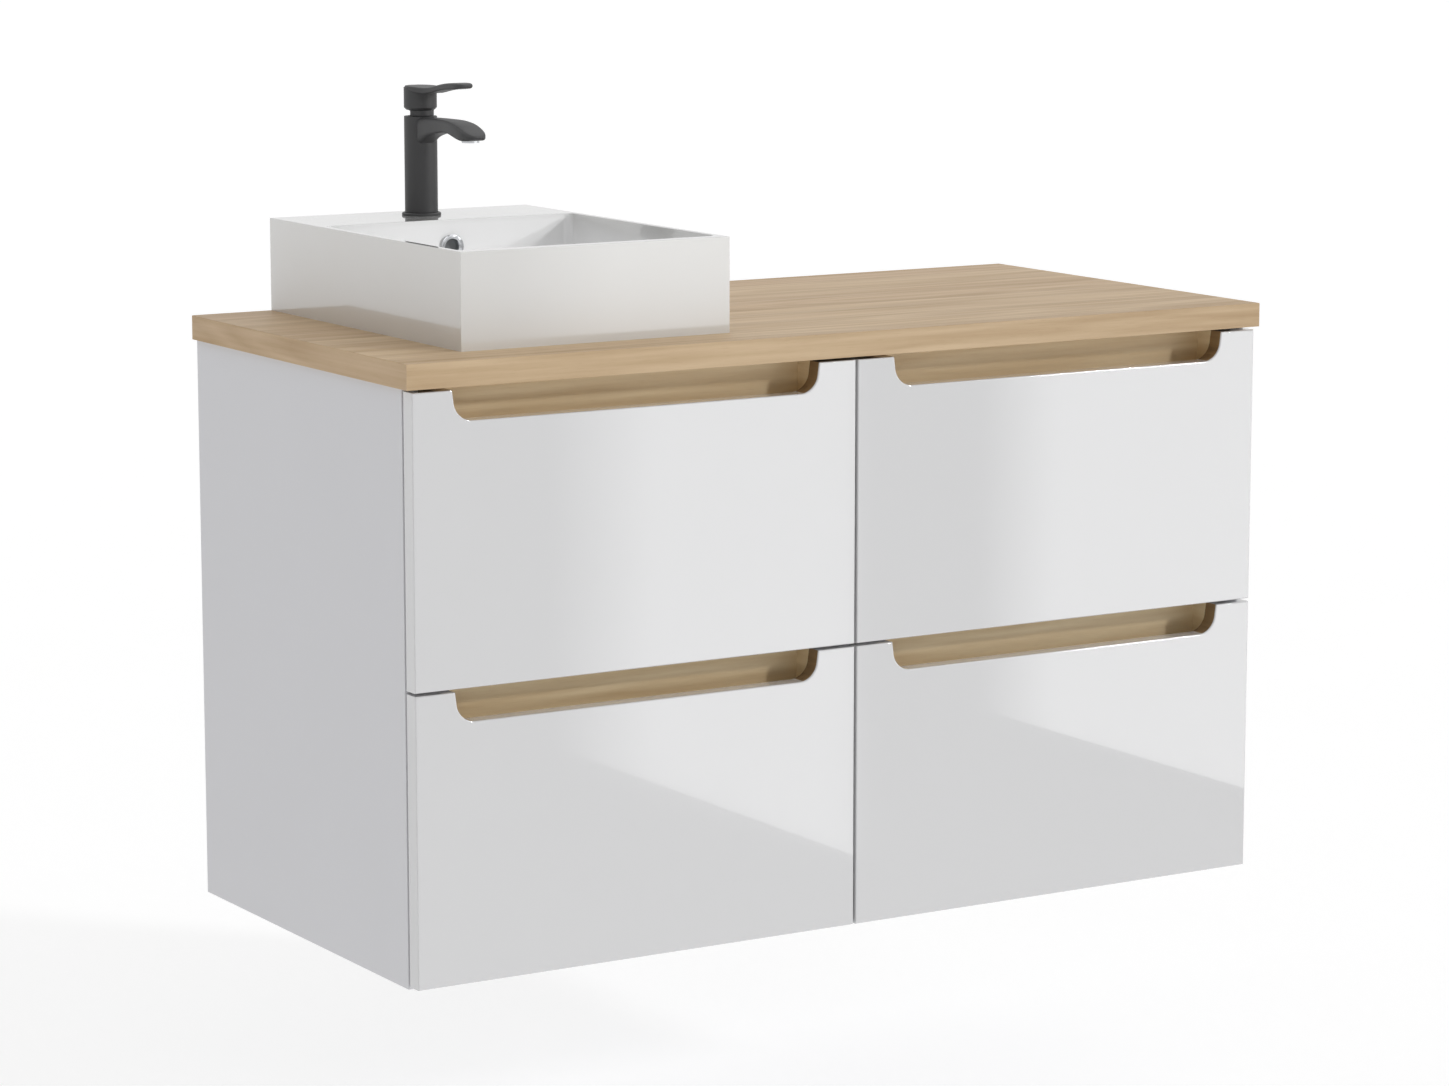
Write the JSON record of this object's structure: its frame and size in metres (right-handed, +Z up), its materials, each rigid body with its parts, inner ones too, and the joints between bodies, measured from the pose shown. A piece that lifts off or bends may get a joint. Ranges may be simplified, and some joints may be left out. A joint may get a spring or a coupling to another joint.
{
  "type": "vessel sink on vanity",
  "caption": "Wall-hung vanity with oak worktop, white rectangular vessel basin, black single-lever tap and notched drawers on runners.",
  "frame": {"origin": "under the middle of the cabinet, at the height of its underside, halfway between the worktop's front edge and the wall", "axes": "+X to the right seen from the front, +Y back towards the wall, +Z up"},
  "size_m": [1.01, 0.48, 0.848],
  "materials": {
    "gloss_white_front": "high-gloss white lacquer film on board, mirror-like reflections",
    "oak_decor": "light oak decor, planked, satin",
    "white_board": "white melamine-faced board, matt",
    "drawer_side_board": "light grey melamine-faced board",
    "zinc_steel": "zinc-plated steel",
    "white_glazed_ceramic": "white glaze, glossy",
    "chrome": "polished chrome",
    "brass_nut": "turned brass",
    "white_plastic": "moulded white plastic",
    "grey_plastic": "moulded grey plastic",
    "dark_plastic": "moulded black plastic",
    "tap_black": "matt black coating on brass",
    "aerator": "chrome ring"
  },
  "bodies": {
    "vanity": {"back_bottom_rail": "white_board", "back_top_rail": "white_board", "basin": "white_glazed_ceramic", "bottom_panel": "white_board", "centre_divider": "white_board", "front_top_rail": "white_board", "left_side_panel": "white_board", "overflow_ring": "chrome", "right_side_panel": "white_board", "runner_rails": "zinc_steel", "tap_aerator": "aerator", "tap_base_ring": "tap_black", "tap_body": "tap_black", "tap_cartridge": "grey_plastic", "tap_clamp_washer": "zinc_steel", "tap_collar": "brass_nut", "tap_stud": "zinc_steel", "tap_stud_nut": "brass_nut", "trap_bottle": "white_plastic", "trap_cup": "white_plastic", "trap_inlet_nut": "white_plastic", "trap_outlet_nut": "white_plastic", "trap_outlet_pipe": "white_plastic", "wall_hangers": "zinc_steel", "waste_body": "chrome", "waste_locknut": "brass_nut", "worktop": "oak_decor"},
    "lower_left_drawer": {"lower_left_drawer_back": "white_board", "lower_left_drawer_bottom": "white_board", "lower_left_drawer_front": "gloss_white_front", "lower_left_drawer_grip": "oak_decor", "lower_left_drawer_left_side": "drawer_side_board", "lower_left_drawer_right_side": "drawer_side_board", "lower_left_drawer_runner_slides": "zinc_steel"},
    "upper_left_drawer": {"upper_left_drawer_back": "white_board", "upper_left_drawer_bottom": "white_board", "upper_left_drawer_front": "gloss_white_front", "upper_left_drawer_grip": "oak_decor", "upper_left_drawer_left_side": "drawer_side_board", "upper_left_drawer_right_side": "drawer_side_board", "upper_left_drawer_runner_slides": "zinc_steel", "upper_left_drawer_trap_surround": "grey_plastic"},
    "lower_right_drawer": {"lower_right_drawer_back": "white_board", "lower_right_drawer_bottom": "white_board", "lower_right_drawer_front": "gloss_white_front", "lower_right_drawer_grip": "oak_decor", "lower_right_drawer_left_side": "drawer_side_board", "lower_right_drawer_right_side": "drawer_side_board", "lower_right_drawer_runner_slides": "zinc_steel"},
    "upper_right_drawer": {"upper_right_drawer_back": "white_board", "upper_right_drawer_bottom": "white_board", "upper_right_drawer_front": "gloss_white_front", "upper_right_drawer_grip": "oak_decor", "upper_right_drawer_left_side": "drawer_side_board", "upper_right_drawer_right_side": "drawer_side_board", "upper_right_drawer_runner_slides": "zinc_steel"},
    "waste_plug": {"waste_plug": "chrome"},
    "tap_spindle": {"tap_spindle": "brass_nut"},
    "tap_lever": {"tap_lever": "tap_black", "tap_index_plug": "dark_plastic"}
  },
  "joints": [
    {"name": "lower_left_drawer_slide", "type": "slide", "parent": "vanity", "child": "lower_left_drawer", "axis": [0, -1, 0], "range_m": [0, 0.3]},
    {"name": "upper_left_drawer_slide", "type": "slide", "parent": "vanity", "child": "upper_left_drawer", "axis": [0, -1, 0], "range_m": [0, 0.3]},
    {"name": "lower_right_drawer_slide", "type": "slide", "parent": "vanity", "child": "lower_right_drawer", "axis": [0, -1, 0], "range_m": [0, 0.3]},
    {"name": "upper_right_drawer_slide", "type": "slide", "parent": "vanity", "child": "upper_right_drawer", "axis": [0, -1, 0], "range_m": [0, 0.3]},
    {"name": "waste_plug_click", "type": "slide", "parent": "vanity", "child": "waste_plug", "axis": [0, 0, 1], "range_m": [0, 0.008]},
    {"name": "tap_swivel", "type": "hinge", "parent": "vanity", "child": "tap_spindle", "pos_m": [-0.264, 0.19, 0.83], "axis": [0, 0, 1], "range_deg": [-45, 45]},
    {"name": "tap_lift", "type": "hinge", "parent": "tap_spindle", "child": "tap_lever", "pos_m": [-0.264, 0.19, 0.8235], "axis": [-1, 0, 0], "range_deg": [0, 25]}
  ]
}
